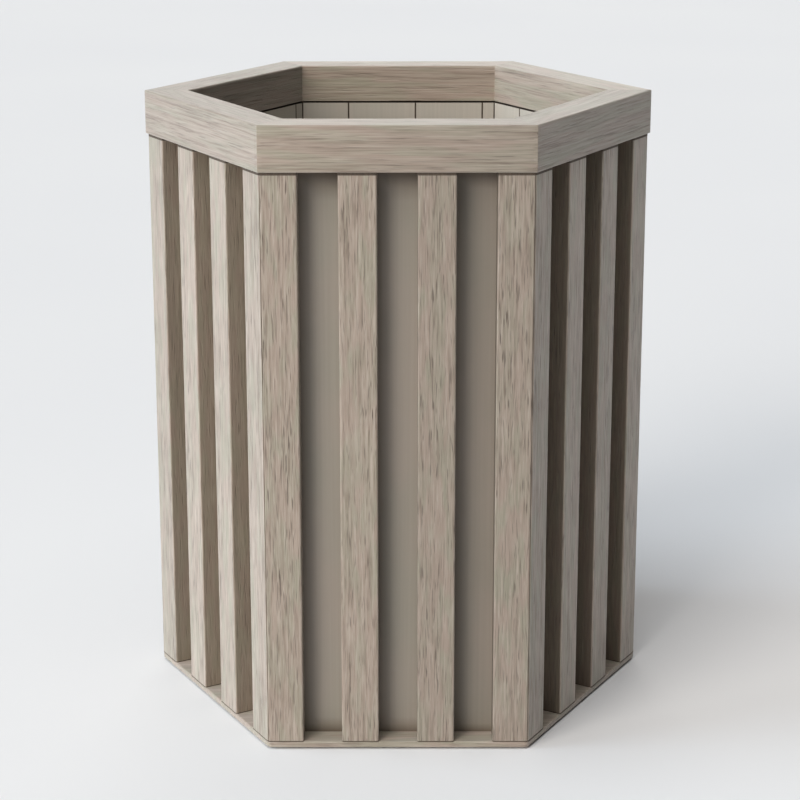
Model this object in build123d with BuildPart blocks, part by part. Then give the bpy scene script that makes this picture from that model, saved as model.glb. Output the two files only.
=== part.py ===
"""Hexagonal slatted wastebasket.

Six walls are glued up from rabbeted staves: each stave is one moulded length of
timber, a thick slat with a thin web beside it, and the web of one stave is
tongued into the slat of the next. A mitred rim caps the walls, and a thin
base plate and an inner floor panel close the bottom.

Units are millimetres. +Z is up, the origin is under the middle of the basket on
the surface that it stands on, and the front wall faces -Y.
"""

import math
import os

from build123d import *

# Driving dimensions
across_corners = 266.7
total_height = 321.0
sides = 6

# Rim rails
rim_height = 23.0
rim_overhang = 1.2
rim_edge = 0.9
rim_mitre_edge = 0.4
rim_rabbet_height = 2.9
rim_rabbet_depth = 6.0

# Staves
slat_width = 18.8
gap_width = 19.4
stave_thickness = 19.4
web_thickness = 7.4
slat_edge = 0.9
mitre_edge = 0.45
seam_chamfer = 0.45
tongue_length = 3.0
tongue_thickness = 2.6
locating_lip_height = 1.8
locating_lip_thickness = 5.8

# Base
pad_proud = 1.0
pad_thickness = 2.0
pad_radius = 8.0
pad_circle = 108.0
base_thickness = 3.2
base_corner = 3.0
base_edge = 0.5
floor_thickness = 9.0
floor_clearance = 0.2

# Joinery
dowel_radius = 3.0
dowel_length = 24.0
dowel_chamfer = 0.6
spline_thickness = 3.0
corner_spline_width = 10.0
corner_spline_end = 16.0
rim_spline_length = 12.0
rim_spline_width = 14.0
screw_radius = 1.75
screw_head_radius = 3.4
screw_length = 11.0
screw_circle = 78.0
drive_slot_width = 0.9
drive_slot_length = 4.2
drive_slot_depth = 0.9

# Worked out from the above
half_step = math.pi / sides
rim_radius = across_corners / 2
rim_apothem = rim_radius * math.cos(half_step)
wall_apothem = rim_apothem - rim_overhang
wall_radius = wall_apothem / math.cos(half_step)
inner_apothem = wall_apothem - stave_thickness
inner_radius = inner_apothem / math.cos(half_step)
rail_thickness = rim_apothem - inner_apothem
pitch = slat_width + gap_width
base_bottom = pad_proud
base_top = base_bottom + base_thickness
rim_bottom = total_height - rim_height
stave_height = rim_bottom - base_top
mid_slat_offset = pitch / 2
corner_slat_inner = mid_slat_offset + slat_width / 2 + gap_width
dowel_apothem = inner_apothem + (stave_thickness + rim_rabbet_depth) / 2
mitre_middle = (wall_radius + inner_radius) / 2

face_angles = {
    "front": -90,
    "front_right": -30,
    "back_right": 30,
    "back": 90,
    "back_left": 150,
    "front_left": 210,
}


def face_plane(angle, height):
    """Plan view plane of one wall: +X runs left to right seen from outside, +Y points inwards."""
    along = (-math.sin(math.radians(angle)), math.cos(math.radians(angle)), 0)
    return Plane(origin=(0, 0, height), x_dir=along, z_dir=(0, 0, 1))


def corner_plane(angle, height):
    """Plan view plane of one corner: +X runs outwards along the mitre."""
    outwards = (math.cos(math.radians(angle)), math.sin(math.radians(angle)), 0)
    return Plane(origin=(0, 0, height), x_dir=outwards, z_dir=(0, 0, 1))


# Each stave's plan outline, as (distance along the wall, distance out from the
# inner face). The web lies left of its slat.
def plain_corner_outline():
    outer_end, inner_end = wall_radius / 2, inner_radius / 2
    return [
        (-outer_end, stave_thickness),
        (-corner_slat_inner, stave_thickness),
        (-corner_slat_inner, 0),
        (-inner_end, 0),
    ]


def webbed_outline(slat_middle):
    right = slat_middle + slat_width / 2
    slat_left = slat_middle - slat_width / 2
    web_left = slat_left - gap_width
    return [
        (web_left, 0),
        (right, 0),
        (right, stave_thickness),
        (slat_left, stave_thickness),
        (slat_left, web_thickness),
        (web_left, web_thickness),
    ]


def webbed_corner_outline():
    web_left = corner_slat_inner - gap_width
    return [
        (web_left, 0),
        (inner_radius / 2, 0),
        (wall_radius / 2, stave_thickness),
        (corner_slat_inner, stave_thickness),
        (corner_slat_inner, web_thickness),
        (web_left, web_thickness),
    ]


# kind: outline, web's left edge, slat's right edge, dowel position, mitred end
stave_kinds = {
    "left_corner": (plain_corner_outline(), None, -corner_slat_inner, None, -1),
    "left": (
        webbed_outline(-mid_slat_offset),
        -corner_slat_inner,
        -gap_width / 2,
        -mid_slat_offset,
        0,
    ),
    "right": (
        webbed_outline(mid_slat_offset),
        -gap_width / 2,
        mid_slat_offset + slat_width / 2,
        mid_slat_offset,
        0,
    ),
    "right_corner": (
        webbed_corner_outline(),
        mid_slat_offset + slat_width / 2,
        None,
        None,
        1,
    ),
}

os.makedirs("parts", exist_ok=True)


# Staves: four to a wall
for face, angle in face_angles.items():
    for kind, (outline, web_left, slat_right, dowel_at, mitre) in stave_kinds.items():
        with BuildPart() as stave:
            with BuildSketch(face_plane(angle, base_top)) as profile:
                with BuildLine():
                    Polyline(*[(u, -inner_apothem - v) for u, v in outline], close=True)
                make_face()
                outer_corners = profile.vertices().group_by(Axis.Y)[0].sort_by(Axis.X)
                inner_corners = profile.vertices().group_by(Axis.Y)[-1]
                left_radius = mitre_edge if mitre < 0 else slat_edge
                right_radius = mitre_edge if mitre > 0 else slat_edge
                fillet(outer_corners[0], radius=left_radius)
                fillet(outer_corners[-1], radius=right_radius)
                chamfer(inner_corners, length=seam_chamfer)
                tongue_y = -inner_apothem - web_thickness / 2
                if web_left is not None:
                    with Locations((web_left - tongue_length / 2, tongue_y)):
                        Rectangle(tongue_length, tongue_thickness)
                if slat_right is not None:
                    with Locations((slat_right - tongue_length / 2, tongue_y)):
                        Rectangle(tongue_length, tongue_thickness, mode=Mode.SUBTRACT)
            extrude(amount=stave_height + locating_lip_height)
            with BuildSketch(face_plane(angle, rim_bottom)):
                with Locations((0, -inner_apothem - locating_lip_thickness)):
                    Rectangle(across_corners, stave_thickness, align=(Align.CENTER, Align.MAX))
            extrude(amount=locating_lip_height, mode=Mode.SUBTRACT)
            if dowel_at is not None:
                with BuildSketch(face_plane(angle, rim_bottom)):
                    with Locations((dowel_at, -dowel_apothem)):
                        Circle(dowel_radius)
                extrude(amount=-dowel_length / 2, mode=Mode.SUBTRACT)
            if mitre:
                mitre_angle = angle + mitre * 180 / sides
                with BuildSketch(corner_plane(mitre_angle, base_top + corner_spline_end)):
                    with Locations((mitre_middle, 0)):
                        Rectangle(spline_thickness, corner_spline_width)
                extrude(amount=stave_height - 2 * corner_spline_end, mode=Mode.SUBTRACT)
        stave.part.label = f"{face}_wall_{kind}_stave"
        export_step(stave.part, f"parts/{stave.part.label}.step")


# Rim rails: mitred, with a rabbet that drops over the staves' lips and leaves a shadow gap
rim_spline_height = rim_bottom + rim_height / 2
rim_spline_middle = (rim_radius + inner_radius) / 2

for face, angle in face_angles.items():
    with BuildPart() as rail:
        with BuildSketch(face_plane(angle, rim_bottom)) as plan:
            with BuildLine():
                Polyline(
                    (-rim_radius / 2, -rim_apothem),
                    (rim_radius / 2, -rim_apothem),
                    (inner_radius / 2, -inner_apothem),
                    (-inner_radius / 2, -inner_apothem),
                    close=True,
                )
            make_face()
            fillet(plan.vertices().group_by(Axis.Y)[0], radius=rim_mitre_edge)
        extrude(amount=rim_height)
        with BuildSketch(face_plane(angle, rim_bottom)):
            with Locations((0, -inner_apothem - rim_rabbet_depth / 2)):
                Rectangle(across_corners, rim_rabbet_depth)
        extrude(amount=rim_rabbet_height, mode=Mode.SUBTRACT)
        along_wall = Axis((0, 0, 0), face_plane(angle, 0).x_dir)
        long_edges = rail.edges().filter_by(along_wall)
        top_edges = long_edges.group_by(Axis.Z)[-1]
        bottom_edges = long_edges.group_by(Axis.Z)[0]
        outwards = Axis((0, 0, 0), -face_plane(angle, 0).y_dir)
        fillet(top_edges + [bottom_edges.sort_by(outwards)[-1]], radius=rim_edge)
        with BuildSketch(face_plane(angle, rim_bottom)):
            with Locations(
                (-mid_slat_offset, -dowel_apothem), (mid_slat_offset, -dowel_apothem)
            ):
                Circle(dowel_radius)
        extrude(amount=dowel_length / 2, mode=Mode.SUBTRACT)
        for side in (-1, 1):
            rim_corner = corner_plane(
                angle + side * 180 / sides, rim_spline_height - spline_thickness / 2
            )
            with BuildSketch(rim_corner):
                with Locations((rim_spline_middle, 0)):
                    Rectangle(rim_spline_length, rim_spline_width)
            extrude(amount=spline_thickness, mode=Mode.SUBTRACT)
    rail.part.label = f"rim_rail_{face}"
    export_step(rail.part, f"parts/{rail.part.label}.step")


# Splines: loose tongues across each mitre, in the walls and in the rim
with BuildPart() as corner_splines:
    for number in range(sides):
        with BuildSketch(corner_plane(number * 360 / sides, base_top + corner_spline_end)):
            with Locations((mitre_middle, 0)):
                Rectangle(spline_thickness, corner_spline_width)
        extrude(amount=stave_height - 2 * corner_spline_end)
corner_splines.part.label = "corner_splines"
export_step(corner_splines.part, "parts/corner_splines.step")

with BuildPart() as rim_splines:
    for number in range(sides):
        rim_corner = corner_plane(
            number * 360 / sides, rim_spline_height - spline_thickness / 2
        )
        with BuildSketch(rim_corner):
            with Locations((rim_spline_middle, 0)):
                Rectangle(rim_spline_length, rim_spline_width)
        extrude(amount=spline_thickness)
rim_splines.part.label = "rim_splines"
export_step(rim_splines.part, "parts/rim_splines.step")


# Dowels: two through each rail's seat into the middle slats
with BuildPart() as rim_dowels:
    for angle in face_angles.values():
        with BuildSketch(face_plane(angle, rim_bottom - dowel_length / 2)):
            with Locations(
                (-mid_slat_offset, -dowel_apothem), (mid_slat_offset, -dowel_apothem)
            ):
                Circle(dowel_radius)
        extrude(amount=dowel_length)
    dowel_rims = rim_dowels.edges().filter_by(GeomType.CIRCLE)
    chamfer(dowel_rims, length=dowel_chamfer)
rim_dowels.part.label = "rim_dowels"
export_step(rim_dowels.part, "parts/rim_dowels.step")


# Base plate: the thin board under the staves, with pockets for the pads
with BuildPart() as base_plate:
    with BuildSketch(Plane.XY.offset(base_bottom)) as plate_plan:
        RegularPolygon(radius=wall_radius, side_count=sides)
        fillet(plate_plan.vertices(), radius=base_corner)
    extrude(amount=base_thickness)
    plate_rims = base_plate.faces().filter_by(Plane.XY).edges()
    chamfer(plate_rims, length=base_edge)
    with BuildSketch(Plane.XY.offset(base_bottom)):
        with PolarLocations(pad_circle, sides):
            Circle(pad_radius)
    extrude(amount=pad_thickness - pad_proud, mode=Mode.SUBTRACT)
    with Locations(Plane.XY.offset(base_bottom)):
        with PolarLocations(screw_circle, sides, start_angle=30):
            Cone(
                bottom_radius=screw_head_radius,
                top_radius=screw_radius,
                height=screw_head_radius - screw_radius,
                align=(Align.CENTER, Align.CENTER, Align.MIN),
                mode=Mode.SUBTRACT,
            )
            Cylinder(
                radius=screw_radius,
                height=base_thickness,
                align=(Align.CENTER, Align.CENTER, Align.MIN),
                mode=Mode.SUBTRACT,
            )
base_plate.part.label = "base_plate"
export_step(base_plate.part, "parts/base_plate.step")


# Floor panel: the thicker board inside the walls, that the base plate screws to
with BuildPart() as floor_panel:
    with BuildSketch(Plane.XY.offset(base_top)):
        RegularPolygon(radius=inner_radius - floor_clearance, side_count=sides)
    extrude(amount=floor_thickness)
    top_rim = floor_panel.faces().sort_by(Axis.Z)[-1].edges()
    chamfer(top_rim, length=base_edge)
    with BuildSketch(Plane.XY.offset(base_top)):
        with PolarLocations(screw_circle, sides, start_angle=30):
            Circle(screw_radius)
    extrude(amount=screw_length - base_thickness, mode=Mode.SUBTRACT)
floor_panel.part.label = "floor_panel"
export_step(floor_panel.part, "parts/floor_panel.step")


# Screws: countersunk, up through the base plate into the floor panel
with BuildPart() as base_screws:
    with Locations(Plane.XY.offset(base_bottom)):
        with PolarLocations(screw_circle, sides, start_angle=30):
            Cylinder(
                radius=screw_radius,
                height=screw_length,
                align=(Align.CENTER, Align.CENTER, Align.MIN),
            )
            Cone(
                bottom_radius=screw_head_radius,
                top_radius=screw_radius,
                height=screw_head_radius - screw_radius,
                align=(Align.CENTER, Align.CENTER, Align.MIN),
            )
            for turn in (0, 90):
                Box(
                    drive_slot_length,
                    drive_slot_width,
                    drive_slot_depth,
                    rotation=(0, 0, turn),
                    align=(Align.CENTER, Align.CENTER, Align.MIN),
                    mode=Mode.SUBTRACT,
                )
base_screws.part.label = "base_screws"
export_step(base_screws.part, "parts/base_screws.step")


# Felt pads: set in the base plate's pockets, a little proud of it
with BuildPart() as felt_pads:
    with BuildSketch():
        with PolarLocations(pad_circle, sides):
            Circle(pad_radius)
    extrude(amount=pad_thickness)
felt_pads.part.label = "felt_pads"
export_step(felt_pads.part, "parts/felt_pads.step")
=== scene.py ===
import math
import random

import bmesh
import bpy
from mathutils import Matrix, Vector, noise


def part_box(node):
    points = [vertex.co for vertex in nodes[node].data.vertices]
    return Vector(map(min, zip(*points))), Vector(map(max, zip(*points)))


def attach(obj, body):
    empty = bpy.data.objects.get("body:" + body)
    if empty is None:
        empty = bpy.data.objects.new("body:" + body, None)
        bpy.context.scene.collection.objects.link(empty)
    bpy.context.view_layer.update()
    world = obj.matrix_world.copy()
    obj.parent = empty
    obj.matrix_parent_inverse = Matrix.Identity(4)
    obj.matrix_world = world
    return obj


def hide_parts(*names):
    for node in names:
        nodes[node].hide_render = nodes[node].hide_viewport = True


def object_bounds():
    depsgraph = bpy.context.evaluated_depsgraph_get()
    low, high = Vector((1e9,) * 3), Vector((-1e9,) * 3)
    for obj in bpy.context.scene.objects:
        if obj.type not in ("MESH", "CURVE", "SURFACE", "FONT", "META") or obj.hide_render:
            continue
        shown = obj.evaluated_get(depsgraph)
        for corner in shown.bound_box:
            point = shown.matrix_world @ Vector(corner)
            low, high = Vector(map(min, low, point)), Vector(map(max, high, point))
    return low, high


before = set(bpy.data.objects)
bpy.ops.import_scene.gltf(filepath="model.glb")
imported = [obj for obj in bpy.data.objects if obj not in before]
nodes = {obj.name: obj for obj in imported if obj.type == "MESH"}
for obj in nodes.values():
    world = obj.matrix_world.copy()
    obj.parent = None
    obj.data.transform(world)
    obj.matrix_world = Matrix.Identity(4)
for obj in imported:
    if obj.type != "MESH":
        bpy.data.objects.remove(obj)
cadLow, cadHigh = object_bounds()
draw = random.Random(11)

mm = 0.001
touching = 0.01 * mm  # points nearer than this are taken as one place
hair = 0.001 * mm
slack = 0.3 * mm  # how far a point may lie from a plane and still belong to it
halfSide = math.pi / 6  # half the turn from one wall of the hexagon to the next
wallAngles = {
    "front": -90,
    "front_right": -30,
    "back_right": 30,
    "back": 90,
    "back_left": 150,
    "front_left": 210,
}


def newMaterial(name):
    material = bpy.data.materials.new(name)
    material.use_nodes = True
    tree = material.node_tree
    shader = tree.nodes["Principled BSDF"]
    return material, tree, shader


def stretchedNoise(tree, source, size, detail=2.0, roughness=0.5, stretch=1.0):
    # noise drawn out along the grain; size is that of a feature across and along it, in metres
    across, along = size
    mapping = tree.nodes.new("ShaderNodeMapping")
    mapping.inputs["Scale"].default_value = (1 / across, 1 / across, 1 / (along * stretch))
    tree.links.new(source, mapping.inputs["Vector"])
    texture = tree.nodes.new("ShaderNodeTexNoise")
    texture.inputs["Scale"].default_value = 1.0
    texture.inputs["Detail"].default_value = detail
    texture.inputs["Roughness"].default_value = roughness
    tree.links.new(mapping.outputs["Vector"], texture.inputs["Vector"])
    return texture.outputs["Fac"]


def spread(tree, value, low, high, outLow=0.0, outHigh=1.0):
    node = tree.nodes.new("ShaderNodeMapRange")
    node.inputs["From Min"].default_value = low
    node.inputs["From Max"].default_value = high
    node.inputs["To Min"].default_value = outLow
    node.inputs["To Max"].default_value = outHigh
    tree.links.new(value, node.inputs["Value"])
    return node.outputs["Result"]


def multiply(tree, first, second):
    node = tree.nodes.new("ShaderNodeMath")
    node.operation = "MULTIPLY"
    tree.links.new(first, node.inputs[0])
    if isinstance(second, float):
        node.inputs[1].default_value = second
    else:
        tree.links.new(second, node.inputs[1])
    return node.outputs["Value"]


def blendColour(tree, amount, under, over):
    node = tree.nodes.new("ShaderNodeMix")
    node.data_type = "RGBA"
    tree.links.new(amount, node.inputs["Factor"])
    # inputs 6 and 7 and output 2 are this node's colour sockets
    for socket, colour in ((node.inputs[6], under), (node.inputs[7], over)):
        if isinstance(colour, tuple):
            socket.default_value = (*colour, 1)
        else:
            tree.links.new(colour, socket)
    return node.outputs[2]


def brighten(tree, colour, amount):
    node = tree.nodes.new("ShaderNodeHueSaturation")
    tree.links.new(colour, node.inputs["Color"])
    tree.links.new(amount, node.inputs["Value"])
    return node.outputs["Color"]


def bump(tree, shader, height, distance, strength, under=None):
    node = tree.nodes.new("ShaderNodeBump")
    node.inputs["Distance"].default_value = distance
    node.inputs["Strength"].default_value = strength
    tree.links.new(height, node.inputs["Height"])
    if under is not None:
        tree.links.new(under, node.inputs["Normal"])
    tree.links.new(node.outputs["Normal"], shader.inputs["Normal"])
    return node.outputs["Normal"]


def pieceAttribute(tree, name, output):
    node = tree.nodes.new("ShaderNodeAttribute")
    node.attribute_name = name
    return node.outputs[output]


def objectPlace(tree, turn=(0, 0, 0)):
    # object coordinates turned so that the third one runs along the grain
    place = tree.nodes.new("ShaderNodeTexCoord").outputs["Object"]
    mapping = tree.nodes.new("ShaderNodeMapping")
    mapping.inputs["Rotation"].default_value = turn
    tree.links.new(place, mapping.inputs["Vector"])
    return mapping.outputs["Vector"]


alongWall = (0, math.pi / 2, 0)  # the turn that lays the grain from left to right

slatWood = {
    "light": (0.464, 0.399, 0.337),  # lime left in the grain
    "ground": (0.332, 0.275, 0.220),
    "pink": (0.352, 0.276, 0.226),
    "green": (0.302, 0.284, 0.214),
    "brown": (0.172, 0.125, 0.092),
    "pore": (0.096, 0.068, 0.048),
    # the paler eased edges: partly wear, partly a painted highlight
    "arris": (0.560, 0.510, 0.435),
    "limeAmount": 0.90,
    "brownAmount": 0.95,
    "poreAmount": 0.90,
    "poreRelief": 0.30 * mm,
    "fibreRelief": 0.12 * mm,
    "sheen": 0.35,
    "darkest": 0.80,  # what a stave's tone of 0 does to its colour
    "palest": 1.235,  # and a tone of 1.5
    # sizes across and along the grain, and how far the lengths are drawn out
    "fibres": (0.5 * mm, 22 * mm),
    "streaks": (1.15 * mm, 21 * mm),
    "bands": (5 * mm, 90 * mm),
    "patches": (6 * mm, 26 * mm),
    "pores": (0.75 * mm, 11 * mm),
    "stretch": 1.0,
}
railWood = dict(
    slatWood,
    ground=(0.324, 0.270, 0.218),
    limeAmount=0.65,
    brownAmount=0.80,
    poreAmount=0.45,
    stretch=1.6,
)
plateWood = dict(slatWood, brownAmount=0.5, poreAmount=0.5)
# the sides of the slats are painted darker than their faces, the left ones most: painted shade of the gaps
# between the slats
shadedLeftSideWood = dict(
    plateWood,
    light=(0.20, 0.165, 0.125),
    ground=(0.155, 0.122, 0.090),
    pink=(0.165, 0.122, 0.092),
    green=(0.148, 0.125, 0.088),
    brown=(0.095, 0.072, 0.052),
    pore=(0.06, 0.046, 0.034),
    arris=(0.22, 0.18, 0.14),
    sheen=0.03,
)
shadedRightSideWood = dict(
    plateWood,
    light=(0.365, 0.305, 0.24),
    ground=(0.275, 0.222, 0.172),
    pink=(0.29, 0.222, 0.175),
    green=(0.28, 0.243, 0.18),
    brown=(0.17, 0.135, 0.10),
    pore=(0.11, 0.085, 0.06),
    arris=(0.43, 0.36, 0.29),
    sheen=0.05,
)


def limedWood(name, wood, fromPiece=True, turn=(0, 0, 0)):
    # weathered, limed timber: fibres, growth bands, short dark pores and lime in the hollows
    material, tree, shader = newMaterial(name)
    place = pieceAttribute(tree, "grain", "Vector") if fromPiece else objectPlace(tree, turn)
    stretch = wood["stretch"]
    fibres = stretchedNoise(tree, place, wood["fibres"], 3.0, 0.6, stretch)
    streaks = stretchedNoise(tree, place, wood["streaks"], 3.0, 0.62, stretch)
    bands = stretchedNoise(tree, place, wood["bands"], 2.0, 0.5, stretch)
    patches = stretchedNoise(tree, place, wood["patches"], 1.5, 0.5, stretch)
    pores = stretchedNoise(tree, place, wood["pores"], 1.5, 0.5, stretch)

    # each band of growth takes some of the pink or green
    tint = blendColour(tree, spread(tree, patches, 0.44, 0.58), wood["pink"], wood["green"])
    colour = blendColour(tree, spread(tree, bands, 0.38, 0.62, 0.40, 0.95), wood["ground"], tint)
    limeMask = spread(tree, streaks, 0.52, 0.72, 0.0, wood["limeAmount"])
    colour = blendColour(tree, limeMask, colour, wood["light"])
    brownMask = multiply(tree, spread(tree, streaks, 0.50, 0.33), spread(tree, bands, 0.62, 0.40, 0.35, 1.0))
    colour = blendColour(tree, multiply(tree, brownMask, wood["brownAmount"]), colour, wood["brown"])
    poreMask = multiply(tree, spread(tree, pores, 0.42, 0.31), spread(tree, bands, 0.60, 0.42, 0.35, 1.0))
    colour = blendColour(tree, multiply(tree, poreMask, wood["poreAmount"]), colour, wood["pore"])
    colour = blendColour(tree, spread(tree, fibres, 0.35, 0.68, 0.0, 0.35), colour, wood["light"])
    if fromPiece:
        tone = pieceAttribute(tree, "tone", "Fac")
        colour = brighten(tree, colour, spread(tree, tone, 0.0, 1.5, wood["darkest"], wood["palest"]))
        # the eased edges are painted paler: partly wear, partly a painted highlight where the light catches
        # the rounding
        arris = spread(tree, pieceAttribute(tree, "arris", "Fac"), 0.05, 0.9, 0.0, 0.80)
        wornAndHighlitEdge = multiply(tree, arris, spread(tree, streaks, 0.35, 0.60, 0.6, 1.0))
        colour = blendColour(tree, wornAndHighlitEdge, colour, wood["arris"])
    tree.links.new(colour, shader.inputs["Base Color"])
    tree.links.new(spread(tree, streaks, 0.3, 0.7, 0.62, 0.48), shader.inputs["Roughness"])
    shader.inputs["Specular IOR Level"].default_value = 0.5
    shader.inputs["Sheen Weight"].default_value = wood["sheen"]
    fine = bump(tree, shader, fibres, wood["fibreRelief"], 0.5)
    bump(tree, shader, spread(tree, pores, 0.30, 0.43), wood["poreRelief"], 0.55, fine)
    return material


webPaint = {
    "colour": (0.352, 0.312, 0.270),
    "cool": (0.330, 0.307, 0.262),
    # the colour of the painted shade in the recesses
    "paintedShade": (0.092, 0.063, 0.042),
    "paintedShadeAmount": 0.92,
    "drift": (24 * mm, 60 * mm),  # sizes across and along the panel
    "drawn": (1.4 * mm, 120 * mm),
    "peel": (1.6 * mm, 2.2 * mm),
    "drawnRelief": 0.08 * mm,
    "peelRelief": 0.03 * mm,
}
insidePaint = dict(webPaint, colour=(0.515, 0.470, 0.415), cool=(0.485, 0.458, 0.405), paintedShadeAmount=0.0)


def paintedPanel(name, paint, fromPiece=True):
    # the sprayed undercoat on the recessed panels and the inside: smooth, with faint drawn lines,
    # and brown painted shade in the corners of the recesses, beside the slat, under the rim and above the
    # base
    material, tree, shader = newMaterial(name)
    place = pieceAttribute(tree, "grain", "Vector") if fromPiece else objectPlace(tree, alongWall)
    drift = stretchedNoise(tree, place, paint["drift"])
    drawn = stretchedNoise(tree, place, paint["drawn"], 2.0, 0.55)
    peel = stretchedNoise(tree, place, paint["peel"])
    colour = blendColour(tree, spread(tree, drift, 0.35, 0.65), paint["colour"], paint["cool"])
    colour = brighten(tree, colour, spread(tree, drawn, 0.3, 0.7, 0.965, 1.03))
    amount = paint["paintedShadeAmount"]
    # painted shade: the recess is darkened beside the slat, under the rim and above the base, where their
    # shadows fall
    if amount:
        shadeStrength = spread(tree, drift, 0.3, 0.7, amount * 0.85, amount)
        corner = multiply(tree, pieceAttribute(tree, "paintedShadeDepth", "Fac"), shadeStrength)
        colour = blendColour(tree, corner, colour, paint["paintedShade"])
    tree.links.new(colour, shader.inputs["Base Color"])
    tree.links.new(spread(tree, peel, 0.3, 0.7, 0.50, 0.62), shader.inputs["Roughness"])
    shader.inputs["Specular IOR Level"].default_value = 0.35
    fine = bump(tree, shader, drawn, paint["drawnRelief"], 0.4)
    bump(tree, shader, peel, paint["peelRelief"], 0.35, fine)
    return material


feltPad = {
    "colour": (0.075, 0.068, 0.06),
    "dark": (0.03, 0.027, 0.024),
    "fleck": 0.5 * mm,
    "roughness": 0.9,
    "metallic": 0.0,
    "sheen": 0.4,
    "relief": 0.1 * mm,
}
bareBeech = dict(
    feltPad, colour=(0.55, 0.38, 0.22), dark=(0.42, 0.27, 0.15), fleck=1.2 * mm, roughness=0.6, sheen=0.0
)
zincPlate = dict(
    bareBeech, colour=(0.62, 0.60, 0.55), dark=(0.48, 0.46, 0.42), fleck=0.8 * mm, roughness=0.35,
    metallic=1.0, relief=0.02 * mm,
)
# painted shade in the joints and seams: the rim's shadow along the slats' tops, the shade at their feet and
# in the seams inside
paintedJointShade = dict(
    bareBeech, colour=(0.095, 0.070, 0.050), dark=(0.060, 0.043, 0.031), fleck=1.0 * mm, roughness=0.75,
    relief=0.03 * mm,
)


def speckled(name, fitting):
    # small fittings and joints: felt, bare wood, plated steel and the painted shade of the joints
    material, tree, shader = newMaterial(name)
    fleck = stretchedNoise(tree, objectPlace(tree), (fitting["fleck"], fitting["fleck"] * 2.5), 3.0, 0.6)
    colour = blendColour(tree, spread(tree, fleck, 0.35, 0.65), fitting["dark"], fitting["colour"])
    tree.links.new(colour, shader.inputs["Base Color"])
    roughness = fitting["roughness"]
    uneven = spread(tree, fleck, 0.3, 0.7, roughness - 0.08, roughness + 0.08)
    tree.links.new(uneven, shader.inputs["Roughness"])
    shader.inputs["Metallic"].default_value = fitting["metallic"]
    shader.inputs["Sheen Weight"].default_value = fitting["sheen"]
    bump(tree, shader, fleck, fitting["relief"], 0.6)
    return material


print("finishes")
staveFinishes = {
    "slat": limedWood("limedSlat", slatWood),
    "web": paintedPanel("paintedWeb", webPaint),
    "shadedLeftSide": limedWood("shadedLeftSide", shadedLeftSideWood),
    "inside": paintedPanel("paintedInside", insidePaint),
    "shadedRightSide": limedWood("shadedRightSide", shadedRightSideWood),
    "paintedShade": speckled("paintedJointShadeFinish", paintedJointShade),
}
railFinish = limedWood("limedRail", railWood)
plateFinish = limedWood("limedPlate", plateWood, fromPiece=False, turn=alongWall)
floorFinish = paintedPanel("paintedFloor", insidePaint, fromPiece=False)
feltFinish = speckled("darkFelt", feltPad)
joineryFinish = speckled("bareBeech", bareBeech)
screwFinish = speckled("zincPlate", zincPlate)


def edgesAlong(bm, axis, shortest):
    picked = []
    for edge in bm.edges:
        run = edge.verts[1].co - edge.verts[0].co
        if abs(run[axis]) > shortest and run.length - abs(run[axis]) < hair:
            picked.append(edge)
    return picked


def edgesAt(edges, spots, first, second):
    # the edges that stand on any of these spots in the plane of the two given axes
    picked = []
    for edge in edges:
        place = edge.verts[0].co
        if any(abs(place[first] - s[0]) < touching and abs(place[second] - s[1]) < touching for s in spots):
            picked.append(edge)
    return picked


def spotsOf(verts, first, second):
    return {(round(v.co[first], 6), round(v.co[second], 6)) for v in verts if v.is_valid}


def ease(bm, edges, size, segments):
    result = bmesh.ops.bevel(bm, geom=edges, offset=size, offset_type="OFFSET", affect="EDGES",
                             segments=segments, profile=0.5, material=-1, clamp_overlap=True)
    return result["verts"]


def growFaces(bm, faces, move):
    grown = bmesh.ops.extrude_face_region(bm, geom=faces)
    moved = [g for g in grown["geom"] if isinstance(g, bmesh.types.BMVert)]
    bmesh.ops.translate(bm, vec=move, verts=moved)


def cutAcross(bm, place, axis):
    # a loop cut through the whole piece, square to one axis
    at, square = Vector((0, 0, 0)), Vector((0, 0, 0))
    at[axis], square[axis] = place, 1
    geometry = bm.verts[:] + bm.edges[:] + bm.faces[:]
    bmesh.ops.bisect_plane(bm, geom=geometry, plane_co=at, plane_no=square, dist=hair)


handWork = {
    "across": 11 * mm,  # how often the worn surface rises and falls, across and along the grain
    "along": 26 * mm,
    "nicks": 2.1,  # how much closer together the nicks in the edges come
    "nickShift": Vector((3.1, 0, 0)),  # and how far they are off the slow drift
}


def wearPiece(bm, sizes, arrisVerts, seed, loose):
    # uneven hand-finished surface: every point that is free to move drifts inwards a little
    across, along = handWork["across"], handWork["along"]
    for vert in bm.verts:
        if not loose(vert.co):
            continue
        place = Vector((vert.co.x / across, vert.co.y / across, vert.co.z / along)) + seed
        inward = sizes["wear"] * (0.5 + 0.5 * noise.noise(place))
        if vert in arrisVerts:
            nick = noise.noise(place * handWork["nicks"] + handWork["nickShift"]) + 0.1
            inward += sizes["arrisWear"] * max(0.0, nick)
        vert.co -= vert.normal * inward


def layGrain(bm, grainAxis, seed, leftTone, rightTone, arrisVerts):
    # the grain position, how pale the timber is and its eased edges, kept on the mesh for the finish
    reach = max(abs(v.co.x) for v in bm.verts)
    grainLayer = bm.verts.layers.float_vector.new("grain")
    toneLayer = bm.verts.layers.float.new("tone")
    arrisLayer = bm.verts.layers.float.new("arris")
    for vert in bm.verts:
        x, y, z = vert.co
        alongGrain = (x, y, z) if grainAxis == "z" else (y, z, x)
        vert[grainLayer] = Vector(alongGrain) + seed
        vert[toneLayer] = leftTone + (rightTone - leftTone) * (x / reach + 1) / 2
        vert[arrisLayer] = 1.0 if vert in arrisVerts else 0.0


def drawSeed():
    return Vector((draw.uniform(0, 3), draw.uniform(0, 3), draw.uniform(0, 3)))


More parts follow.
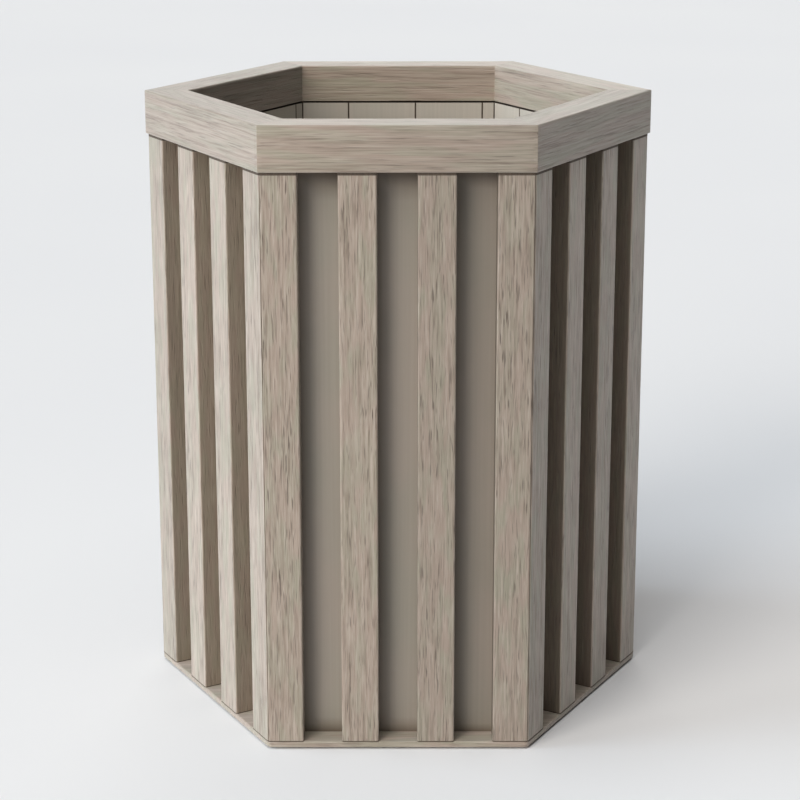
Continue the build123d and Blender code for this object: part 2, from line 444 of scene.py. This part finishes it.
def finishPiece(bm, name, node, materials, angle):
    bmesh.ops.recalc_face_normals(bm, faces=bm.faces)
    turn = Matrix.Rotation(math.radians(angle + 90), 4, "Z")  # each piece is shaped on the front wall
    bmesh.ops.transform(bm, matrix=turn, verts=bm.verts)
    mesh = bpy.data.meshes.new(name)
    bm.to_mesh(mesh)
    bm.free()
    for material in materials:
        mesh.materials.append(material)
    piece = bpy.data.objects.new(name, mesh)
    bpy.context.scene.collection.objects.link(piece)
    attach(piece, "root")
    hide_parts(node)


slatLow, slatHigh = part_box("front_wall_left_corner_stave")
railLow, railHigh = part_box("rim_rail_front")

# the front wall's planes and heights come from the frame; the rest is what the maker chose
wall = {
    "front": slatLow.y,  # the slats' faces
    "back": slatHigh.y,  # the smooth inside
    "foot": slatLow.z,
    "top": railLow.z,
    "lipTop": slatHigh.z,
    "slatWidth": 18.8 * mm,
    "gapWidth": 19.4 * mm,
    "webThickness": 7.4 * mm,
    "lipThickness": 5.8 * mm,
    "slatArris": 0.9 * mm,
    "mitreArris": 0.78 * mm,
    "seamArris": 0.45 * mm,
    "seamDepth": 0.6 * mm,  # how far in from the inside its eased seams are looked for
    "arrisMargin": 0.35 * mm,  # how far the worn line, which is partly a painted highlight, reaches past the rounding
    "topJoint": 1.4 * mm,  # the band of painted shadow under the rim at each joint with it
    "footJoint": 0.45 * mm,  # and the band of painted shade at the joint with the base
    "cuts": 44,  # loop cuts along the stave
    "wear": 0.08 * mm,  # how far the surface wanders inwards
    "arrisWear": 0.14 * mm,
    # how pale each stave of the front wall came out, 0 to 1; the others are drawn between two tones
    "frontTones": {"left_corner": 0.72, "left": 0.58, "right": 0.21, "right_corner": 0.14},
    "otherTones": (0.4, 0.8),
}

# painted shade in the corners of each recess, for the slat's cast shadow and the shade under the rim and
# above the base:
# its depth in the corner beside the slat, under the rim and above the base, 1 being full, and the distance
# over which that depth falls by 1
paintedShade = {
    "acrossCuts": (1.5 * mm, 3 * mm, 5 * mm, 7.5 * mm, 10 * mm),  # loop cuts that carry its fade
    "downCuts": (2 * mm, 4 * mm, 6.5 * mm, 10 * mm),
    "upCuts": (2 * mm, 4.5 * mm, 8 * mm),
    "reach": {"slat": 10 * mm, "rim": 14 * mm, "base": 10 * mm},
    "depth": {"slat": 0.88, "rim": 1.2, "base": 0.95},
    "fade": 1.5,
    # how much further the painted shade reaches across each front panel, and how much of it lies all over
    "front": {
        "left_corner": (1.0, 0.0),
        "left": (1.0, 0.0),
        "right": (1.15, 0.09),
        "right_corner": (1.6, 0.34),
    },
}
fullHeight = 200 * mm  # only a stave's own uprights are longer than this
jointFoot, jointTop = wall["foot"] + wall["footJoint"], wall["top"] - wall["topJoint"]


def staveSection(kind):
    # the corners of the section on the front wall, with the slat's sides and the edges to round
    front, back = wall["front"], wall["back"]
    web = back - wall["webThickness"]
    slat, gap = wall["slatWidth"], wall["gapWidth"]
    halfFront, halfBack = -front * math.tan(halfSide), -back * math.tan(halfSide)
    cornerSlat = (slat + gap) / 2 + slat / 2 + gap
    if kind == "left_corner":
        left, right = -halfFront, -cornerSlat
        outline = [(left, front), (right, front), (right, back), (-halfBack, back)]
        slatEdges, mitres = [(right, front)], [(left, front)]
    elif kind == "right_corner":
        left, right = cornerSlat, halfFront
        outline = [(left - gap, back), (halfBack, back), (right, front),
                   (left, front), (left, web), (left - gap, web)]
        slatEdges, mitres = [(left, front)], [(right, front)]
    else:
        middle = (slat + gap) / 2 * (-1 if kind == "left" else 1)
        left, right = middle - slat / 2, middle + slat / 2
        outline = [(left - gap, back), (right, back), (right, front),
                   (left, front), (left, web), (left - gap, web)]
        slatEdges, mitres = [(left, front), (right, front)], []
    seams = [spot for spot in outline if spot[1] == back]
    return {
        "outline": outline,
        "left": left,
        "right": right,
        "recess": min(x for x, y in outline),
        "slatEdges": slatEdges,
        "mitres": mitres,
        "seams": seams,
    }


def raiseLip(bm):
    # the lip that the rim's rabbet drops over stands along the inside of the top
    top, lipLine = wall["top"], wall["back"] - wall["lipThickness"]
    topFaces = [f for f in bm.faces if all(abs(v.co.z - top) < hair for v in f.verts)]
    geometry = list(dict.fromkeys(part for f in topFaces for part in (f, *f.edges, *f.verts)))
    bmesh.ops.bisect_plane(bm, geom=geometry, plane_co=(0, lipLine, 0), plane_no=(0, 1, 0), dist=hair)
    lip = [f for f in bm.faces
           if all(abs(v.co.z - top) < hair and v.co.y > lipLine - hair for v in f.verts)]
    growFaces(bm, lip, (0, 0, wall["lipTop"] - top))
    bmesh.ops.delete(bm, geom=lip, context="FACES_ONLY")
    bmesh.ops.recalc_face_normals(bm, faces=bm.faces)


def easeStave(bm, section):
    # rounds the slat's edges and any mitred corner, then takes the sharpness off the seams inside
    slatEdges = edgesAt(edgesAlong(bm, 2, fullHeight), section["slatEdges"], 0, 1)
    rounded = ease(bm, slatEdges, wall["slatArris"], 3)
    if section["mitres"]:
        corner = edgesAt(edgesAlong(bm, 2, fullHeight), section["mitres"], 0, 1)
        rounded += ease(bm, corner, wall["mitreArris"], 2)
    spots = spotsOf(rounded, 0, 1)
    ease(bm, edgesAt(edgesAlong(bm, 2, 1 * mm), section["seams"], 0, 1), wall["seamArris"], 1)
    return spots


def cutStave(bm, section, hasWeb):
    # loop cuts for the worn lines, which are partly a painted highlight, the fade of the painted shade in
    # the recess, the bands of painted shade at the joints, and a grid along the stave
    margin = wall["slatArris"] + wall["arrisMargin"]
    left, right = section["left"], section["right"]
    for place in (left + margin, (left + right) / 2, right - margin):
        cutAcross(bm, place, 0)
    if hasWeb:
        for step in paintedShade["acrossCuts"]:
            cutAcross(bm, section["recess"] + step, 0)
    for step in paintedShade["downCuts"]:
        cutAcross(bm, wall["top"] - step, 2)
    for step in paintedShade["upCuts"]:
        cutAcross(bm, wall["foot"] + step, 2)
    for place in (jointFoot, jointTop):
        cutAcross(bm, place, 2)
    bmesh.ops.subdivide_edges(bm, edges=edgesAlong(bm, 2, fullHeight), cuts=wall["cuts"], use_grid_fill=True)
    bmesh.ops.remove_doubles(bm, verts=bm.verts, dist=2 * hair)
    bm.normal_update()


def finishOf(face):
    # which of the stave's finishes lies on this face
    centre, facing = face.calc_center_median(), face.normal
    if centre.y > wall["back"] - wall["seamDepth"]:
        return "inside" if facing.y > 0.9 else "paintedShade"  # the eased seams take the painted shade
    if facing.y < -0.9 and abs(centre.y - wall["back"] + wall["webThickness"]) < slack:
        return "web"
    # the stave's ends and the bands at the joints with the rim and the base take the painted shade
    if abs(facing.z) > 0.3 or not jointFoot < centre.z < jointTop:
        return "paintedShade"
    if abs(facing.x) > 0.9:
        # the left and right sides take shaded copies of one wood, the left the darker
        return "shadedLeftSide" if facing.x < 0 else "shadedRightSide"
    return "slat"


def layPaintedShade(bm, wallName, kind, recess):
    # how deep the painted shade stands at each point, kept on the mesh for the web's paint
    paintedShadeLayer = bm.verts.layers.float.new("paintedShadeDepth")
    shadeWiden, shadeAllOver = paintedShade["front"][kind] if wallName == "front" else (1.0, 0.0)
    reach, depth = paintedShade["reach"], paintedShade["depth"]
    for vert in bm.verts:
        fromSlat = (vert.co.x - recess) / (reach["slat"] * shadeWiden)
        fromRim = (wall["top"] - vert.co.z) / reach["rim"]
        fromBase = (vert.co.z - wall["foot"]) / reach["base"]
        shadeDepth = max(depth["slat"] * (1 - fromSlat), depth["rim"] - fromRim, depth["base"] - fromBase)
        vert[paintedShadeLayer] = max(shadeAllOver, min(1.0, max(0.0, shadeDepth)) ** paintedShade["fade"])


def makeStave(wallName, angle, kind):
    section = staveSection(kind)
    bm = bmesh.new()
    foot = bm.faces.new([bm.verts.new((x, y, wall["foot"])) for x, y in section["outline"]])
    growFaces(bm, [foot], (0, 0, wall["top"] - wall["foot"]))
    cutAcross(bm, wall["back"] - wall["webThickness"], 1)
    raiseLip(bm)
    arrisSpots = easeStave(bm, section)
    cutStave(bm, section, hasWeb=kind != "left_corner")
    arrisVerts = {v for v in bm.verts if (round(v.co.x, 6), round(v.co.y, 6)) in arrisSpots}
    finishNames = list(staveFinishes)
    for face in bm.faces:
        face.material_index = finishNames.index(finishOf(face))

    seed = drawSeed()
    tone = wall["frontTones"][kind] if wallName == "front" else draw.uniform(*wall["otherTones"])
    layGrain(bm, "z", seed, tone, tone, arrisVerts)
    layPaintedShade(bm, wallName, kind, section["recess"])

    # the slat's face wears; the web, the inside and the two ends stay where they are
    looseFrom = wall["back"] - wall["webThickness"] - slack
    lowest, highest = wall["foot"] + 1 * mm, wall["top"] - 1 * mm
    wearPiece(bm, wall, arrisVerts, seed * 50, lambda p: p.y < looseFrom and lowest < p.z < highest)
    finishPiece(bm, f"stave_{wallName}_{kind}", f"{wallName}_wall_{kind}_stave",
                staveFinishes.values(), angle)


print("staves")
for wallName, angle in wallAngles.items():
    for kind in ("left_corner", "left", "right", "right_corner"):
        makeStave(wallName, angle, kind)


rim = {
    "front": railLow.y,
    "back": railHigh.y,
    "foot": railLow.z,
    "top": railHigh.z,
    "rabbetHeight": 2.9 * mm,
    "rabbetDepth": 6.0 * mm,
    "arris": 0.9 * mm,
    "mitreArris": 0.70 * mm,
    "arrisMargin": 0.35 * mm,
    "cuts": 30,  # loop cuts along the rail
    "wear": 0.08 * mm,
    "arrisWear": 0.14 * mm,
    "paintedTopHighlight": 0.42,  # how much paler the top is painted than the sides: a painted highlight for the overhead light and its glancing reflection
    # how pale each rail is at its left and its right end: partly the timber's own tone, partly painted
    # shade, with the front right and back left rails, whose seen faces lie out of the light, set darkest
    "tonesAndShade": {
        "front": (0.85, 0.10),
        "front_right": (0.05, 0.10),
        "back_right": (0.75, 0.70),
        "back": (1.0, 0.95),
        "back_left": (0.0, 0.0),
        "front_left": (0.30, 0.40),
    },
}
fullLength = 100 * mm  # only a rail's long edges are longer than this


def shapeRail(bm):
    # the rabbeted section drawn out past both mitres, with its long edges rounded and looped
    front, back, foot, top = rim["front"], rim["back"], rim["foot"], rim["top"]
    length = -2 * front * math.tan(halfSide) + 4 * mm
    rabbetTop, rabbetSide = foot + rim["rabbetHeight"], back - rim["rabbetDepth"]
    section = [(front, foot), (front, top), (back, top), (back, rabbetTop),
               (rabbetSide, rabbetTop), (rabbetSide, foot)]
    end = bm.faces.new([bm.verts.new((-length / 2, y, z)) for y, z in section])
    growFaces(bm, [end], (length, 0, 0))
    bmesh.ops.recalc_face_normals(bm, faces=bm.faces)
    outside = edgesAt(edgesAlong(bm, 0, fullLength), [(front, foot), (front, top), (back, top)], 1, 2)
    arrisSpots = spotsOf(ease(bm, outside, rim["arris"], 3), 1, 2)
    margin = rim["arris"] + rim["arrisMargin"]
    for place, axis in ((foot + margin, 2), (top - margin, 2), (front + margin, 1), (back - margin, 1)):
        cutAcross(bm, place, axis)
    bmesh.ops.subdivide_edges(bm, edges=edgesAlong(bm, 0, fullLength), cuts=rim["cuts"], use_grid_fill=True)
    return arrisSpots


def mitreRail(bm):
    # cuts both ends to the hexagon's corners, closes them and eases the corner that shows
    for side in (-1, 1):
        across = Vector((side * math.cos(halfSide), math.sin(halfSide), 0))
        geometry = bm.verts[:] + bm.edges[:] + bm.faces[:]
        cut = bmesh.ops.bisect_plane(bm, geom=geometry, plane_co=(0, 0, 0), plane_no=across,
                                     clear_outer=True, dist=hair)
        sawnEdges = [g for g in cut["geom_cut"] if isinstance(g, bmesh.types.BMEdge)]
        bmesh.ops.holes_fill(bm, edges=sawnEdges, sides=0)
    bmesh.ops.remove_doubles(bm, verts=bm.verts, dist=hair)
    bmesh.ops.recalc_face_normals(bm, faces=bm.faces)
    halfFront = -rim["front"] * math.tan(halfSide)
    upright = [e for e in edgesAlong(bm, 2, 0.2 * mm)
               if e.verts[0].co.y < rim["front"] + touching and abs(e.verts[0].co.x) > halfFront - touching]
    mitreVerts = ease(bm, upright, rim["mitreArris"], 2)
    bmesh.ops.remove_doubles(bm, verts=bm.verts, dist=2 * hair)
    # the very tips of the corners are rubbed back as far as the basket's widest measure
    for vert in bm.verts:
        corner = Vector((math.copysign(math.sin(halfSide), vert.co.x), -math.cos(halfSide), 0))
        vert.co -= corner * max(0.0, vert.co.dot(corner) - cadHigh[0])
    bm.normal_update()
    return mitreVerts


def makeRail(wallName, angle):
    bm = bmesh.new()
    arrisSpots = shapeRail(bm)
    mitreVerts = mitreRail(bm)
    arrisVerts = {v for v in bm.verts if (round(v.co.y, 6), round(v.co.z, 6)) in arrisSpots}
    arrisVerts |= {v for v in mitreVerts if v.is_valid}

    seed = drawSeed()
    layGrain(bm, "x", seed, *rim["tonesAndShade"][wallName], arrisVerts)
    toneLayer = bm.verts.layers.float["tone"]
    # painted highlight: the rail's top is made paler as the overhead light and its glancing reflection would
    # make it
    for vert in bm.verts:
        if vert.co.z > rim["top"] - touching:
            vert[toneLayer] += rim["paintedTopHighlight"]

    def loose(p):
        clearOfMitre = -p.y * math.tan(halfSide) - abs(p.x) > 1 * mm
        return clearOfMitre and p.y < rim["back"] - slack and p.z > rim["foot"] + slack

    wearPiece(bm, rim, arrisVerts, seed * 50, loose)
    finishPiece(bm, f"rail_{wallName}", f"rim_rail_{wallName}", [railFinish], angle)


print("rim rails")
for wallName, angle in wallAngles.items():
    makeRail(wallName, angle)

print("carried over parts")
carried = {
    "base_plate": plateFinish,
    "floor_panel": floorFinish,
    "corner_splines": joineryFinish,
    "rim_splines": joineryFinish,
    "rim_dowels": joineryFinish,
    "base_screws": screwFinish,
    "felt_pads": feltFinish,
}
for node, material in carried.items():
    for slotPlace in nodes[node].material_slots:
        slotPlace.material = material

print("stage")
studio = {
    "floorHalf": 30.0,
    "paper": (0.79, 0.80, 0.822),
    "paperPale": (0.805, 0.815, 0.832),
    "paperPatch": (0.6, 0.6),  # metres
    "worldColour": (0.95, 0.97, 1.0),
    "worldStrength": 0.018,
}
# softboxes: degrees round from the front to the left, degrees up, how wide, how strong, their tint
lamps = {
    "frontSoftbox": (40, 22, 36, 2.0, (1.0, 0.92, 0.83)),
    "leftSoftbox": (87, 15, 40, 2.60, (0.76, 0.885, 1.0)),
    "upperSoftbox": (22, 60, 35, 0.80, (1.0, 1.0, 1.0)),
    "topSoftbox": (0, 88, 60, 0.93, (1.0, 0.99, 0.97)),
    "backSoftbox": (180, 22, 40, 0.62, (1.0, 0.96, 0.90)),
}


def studioPaper():
    material, tree, shader = newMaterial("studioPaper")
    drift = stretchedNoise(tree, objectPlace(tree), studio["paperPatch"], 1.0, 0.5)
    colour = blendColour(tree, spread(tree, drift, 0.3, 0.7), studio["paper"], studio["paperPale"])
    tree.links.new(colour, shader.inputs["Base Color"])
    shader.inputs["Roughness"].default_value = 0.9
    shader.inputs["Specular IOR Level"].default_value = 0.1
    return material


def layFloor():
    bm = bmesh.new()
    bmesh.ops.create_grid(bm, x_segments=2, y_segments=2, size=studio["floorHalf"])
    mesh = bpy.data.meshes.new("studioFloor")
    bm.to_mesh(mesh)
    bm.free()
    mesh.materials.append(studioPaper())
    floor = bpy.data.objects.new("studioFloor", mesh)
    bpy.context.scene.collection.objects.link(floor)


def addSun(name, azimuth, height, softness, strength, tint):
    light = bpy.data.lights.new(name, "SUN")
    light.angle = math.radians(softness)
    light.energy = strength
    light.color = tint
    lamp = bpy.data.objects.new(name, light)
    bpy.context.scene.collection.objects.link(lamp)
    a, h = math.radians(azimuth), math.radians(height)
    towards = Vector((-math.sin(a) * math.cos(h), -math.cos(a) * math.cos(h), math.sin(h)))
    lamp.rotation_mode = "QUATERNION"
    lamp.rotation_quaternion = towards.to_track_quat("Z", "Y")
    lamp.location = towards * 2


layFloor()
for name, setting in lamps.items():
    addSun(name, *setting)

world = bpy.data.worlds.new("studioWorld")
bpy.context.scene.world = world
world.use_nodes = True
background = world.node_tree.nodes["Background"]
background.inputs["Color"].default_value = (*studio["worldColour"], 1)
background.inputs["Strength"].default_value = studio["worldStrength"]
bpy.context.scene.view_settings.view_transform = "Standard"

print("camera")
view = {
    "place": (0.00314, -1.10128, 0.48064),
    "pitch": 13.939,  # degrees down
    "yaw": -0.112,
    "roll": -0.049,
    "lens": 94.92,
    "sensor": 36.0,
    "shift": -0.125,
}
cameraData = bpy.data.cameras.new("studioCamera")
cameraData.lens = view["lens"]
cameraData.sensor_width = view["sensor"]
cameraData.shift_y = view["shift"]
cameraData.clip_start, cameraData.clip_end = 0.01, 100
camera = bpy.data.objects.new("studioCamera", cameraData)
bpy.context.scene.collection.objects.link(camera)
camera.matrix_world = (
    Matrix.Translation(view["place"])
    @ Matrix.Rotation(math.radians(-view["yaw"]), 4, "Z")
    @ Matrix.Rotation(math.radians(90 - view["pitch"]), 4, "X")
    @ Matrix.Rotation(math.radians(view["roll"]), 4, "Z")
)
bpy.context.scene.camera = camera

print("done")
